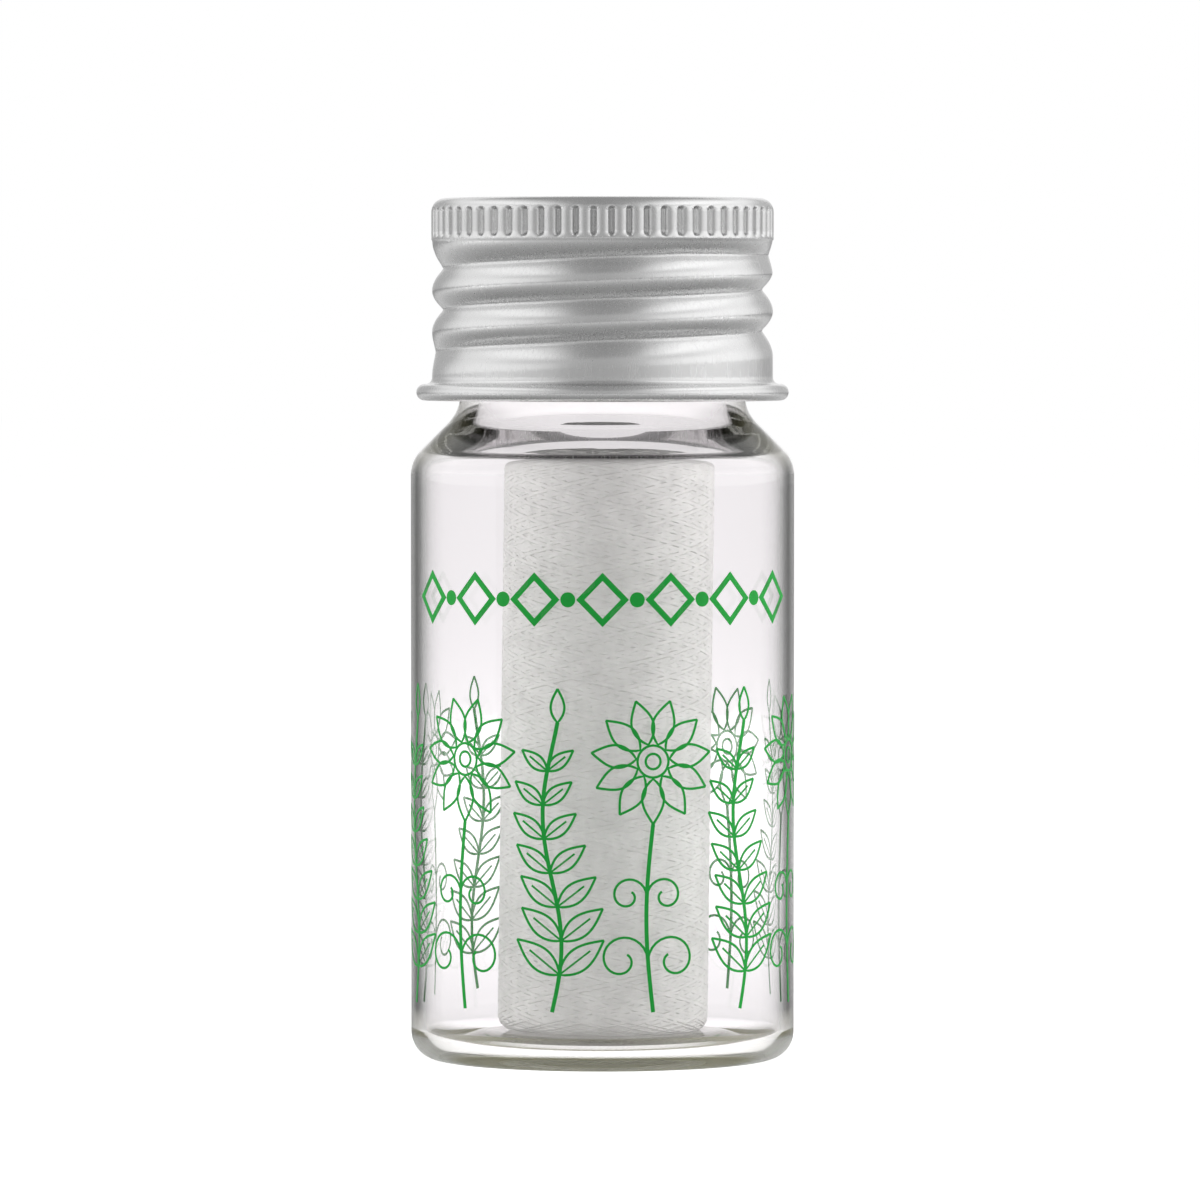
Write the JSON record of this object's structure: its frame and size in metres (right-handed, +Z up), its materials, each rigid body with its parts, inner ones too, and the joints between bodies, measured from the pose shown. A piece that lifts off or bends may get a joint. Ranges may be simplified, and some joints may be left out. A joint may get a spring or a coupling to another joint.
{
  "type": "dental floss dispenser",
  "caption": "Refillable floss dispenser: glass vial with a rolled metal screw cap and liner, a cutter plug in its mouth and a cross-wound floss bobbin inside.",
  "frame": {"origin": "centre of the base of the glass vial, on the surface that it stands on", "axes": "+Z up the vial's axis towards the cap; -Y faces the picture's camera; +X to the camera's right"},
  "size_m": [0.028, 0.028, 0.0629],
  "materials": {
    "clear_glass": "clear colourless tube glass, polished, faintly olive where it is seen through its length",
    "rolled_aluminium": "satin rolled sheet, clear lacquered",
    "foam_liner": "white closed-cell foam, matt",
    "cutter_steel": "stamped stainless sheet",
    "floss_silk": "white waxed silk strand, soft sheen",
    "printed_ink": "leaf-green screen-printed line, fired on the glass"
  },
  "bodies": {
    "vial": {"glass_vial": "clear_glass"},
    "plug": {"cutter_plug": "cutter_steel"},
    "bobbin": {"floss_bobbin": "floss_silk", "floss_winding": "floss_silk"},
    "liner": {"cap_liner": "foam_liner"},
    "cap": {"screw_cap": "rolled_aluminium"}
  },
  "joints": [
    {"name": "cap_lift", "type": "slide", "parent": "vial", "child": "liner", "axis": [0, 0, 1], "range_m": [0, 0.015]},
    {"name": "cap_turn", "type": "hinge", "parent": "liner", "child": "cap", "pos_m": [0, 0, 0.0626], "axis": [0, 0, 1], "range_deg": [0, 1800]},
    {"name": "plug_turn", "type": "hinge", "parent": "vial", "child": "plug", "pos_m": [0, 0, 0.0613], "axis": [0, 0, 1], "continuous": true},
    {"name": "bobbin_spin", "type": "hinge", "parent": "vial", "child": "bobbin", "pos_m": [0, 0, 0.00212], "axis": [0.0122, 0, 0.9999], "continuous": true}
  ],
  "couplings": [
    {"joint": "cap_lift", "follows": "cap_turn", "m_per_rad": 0.00047746}
  ]
}
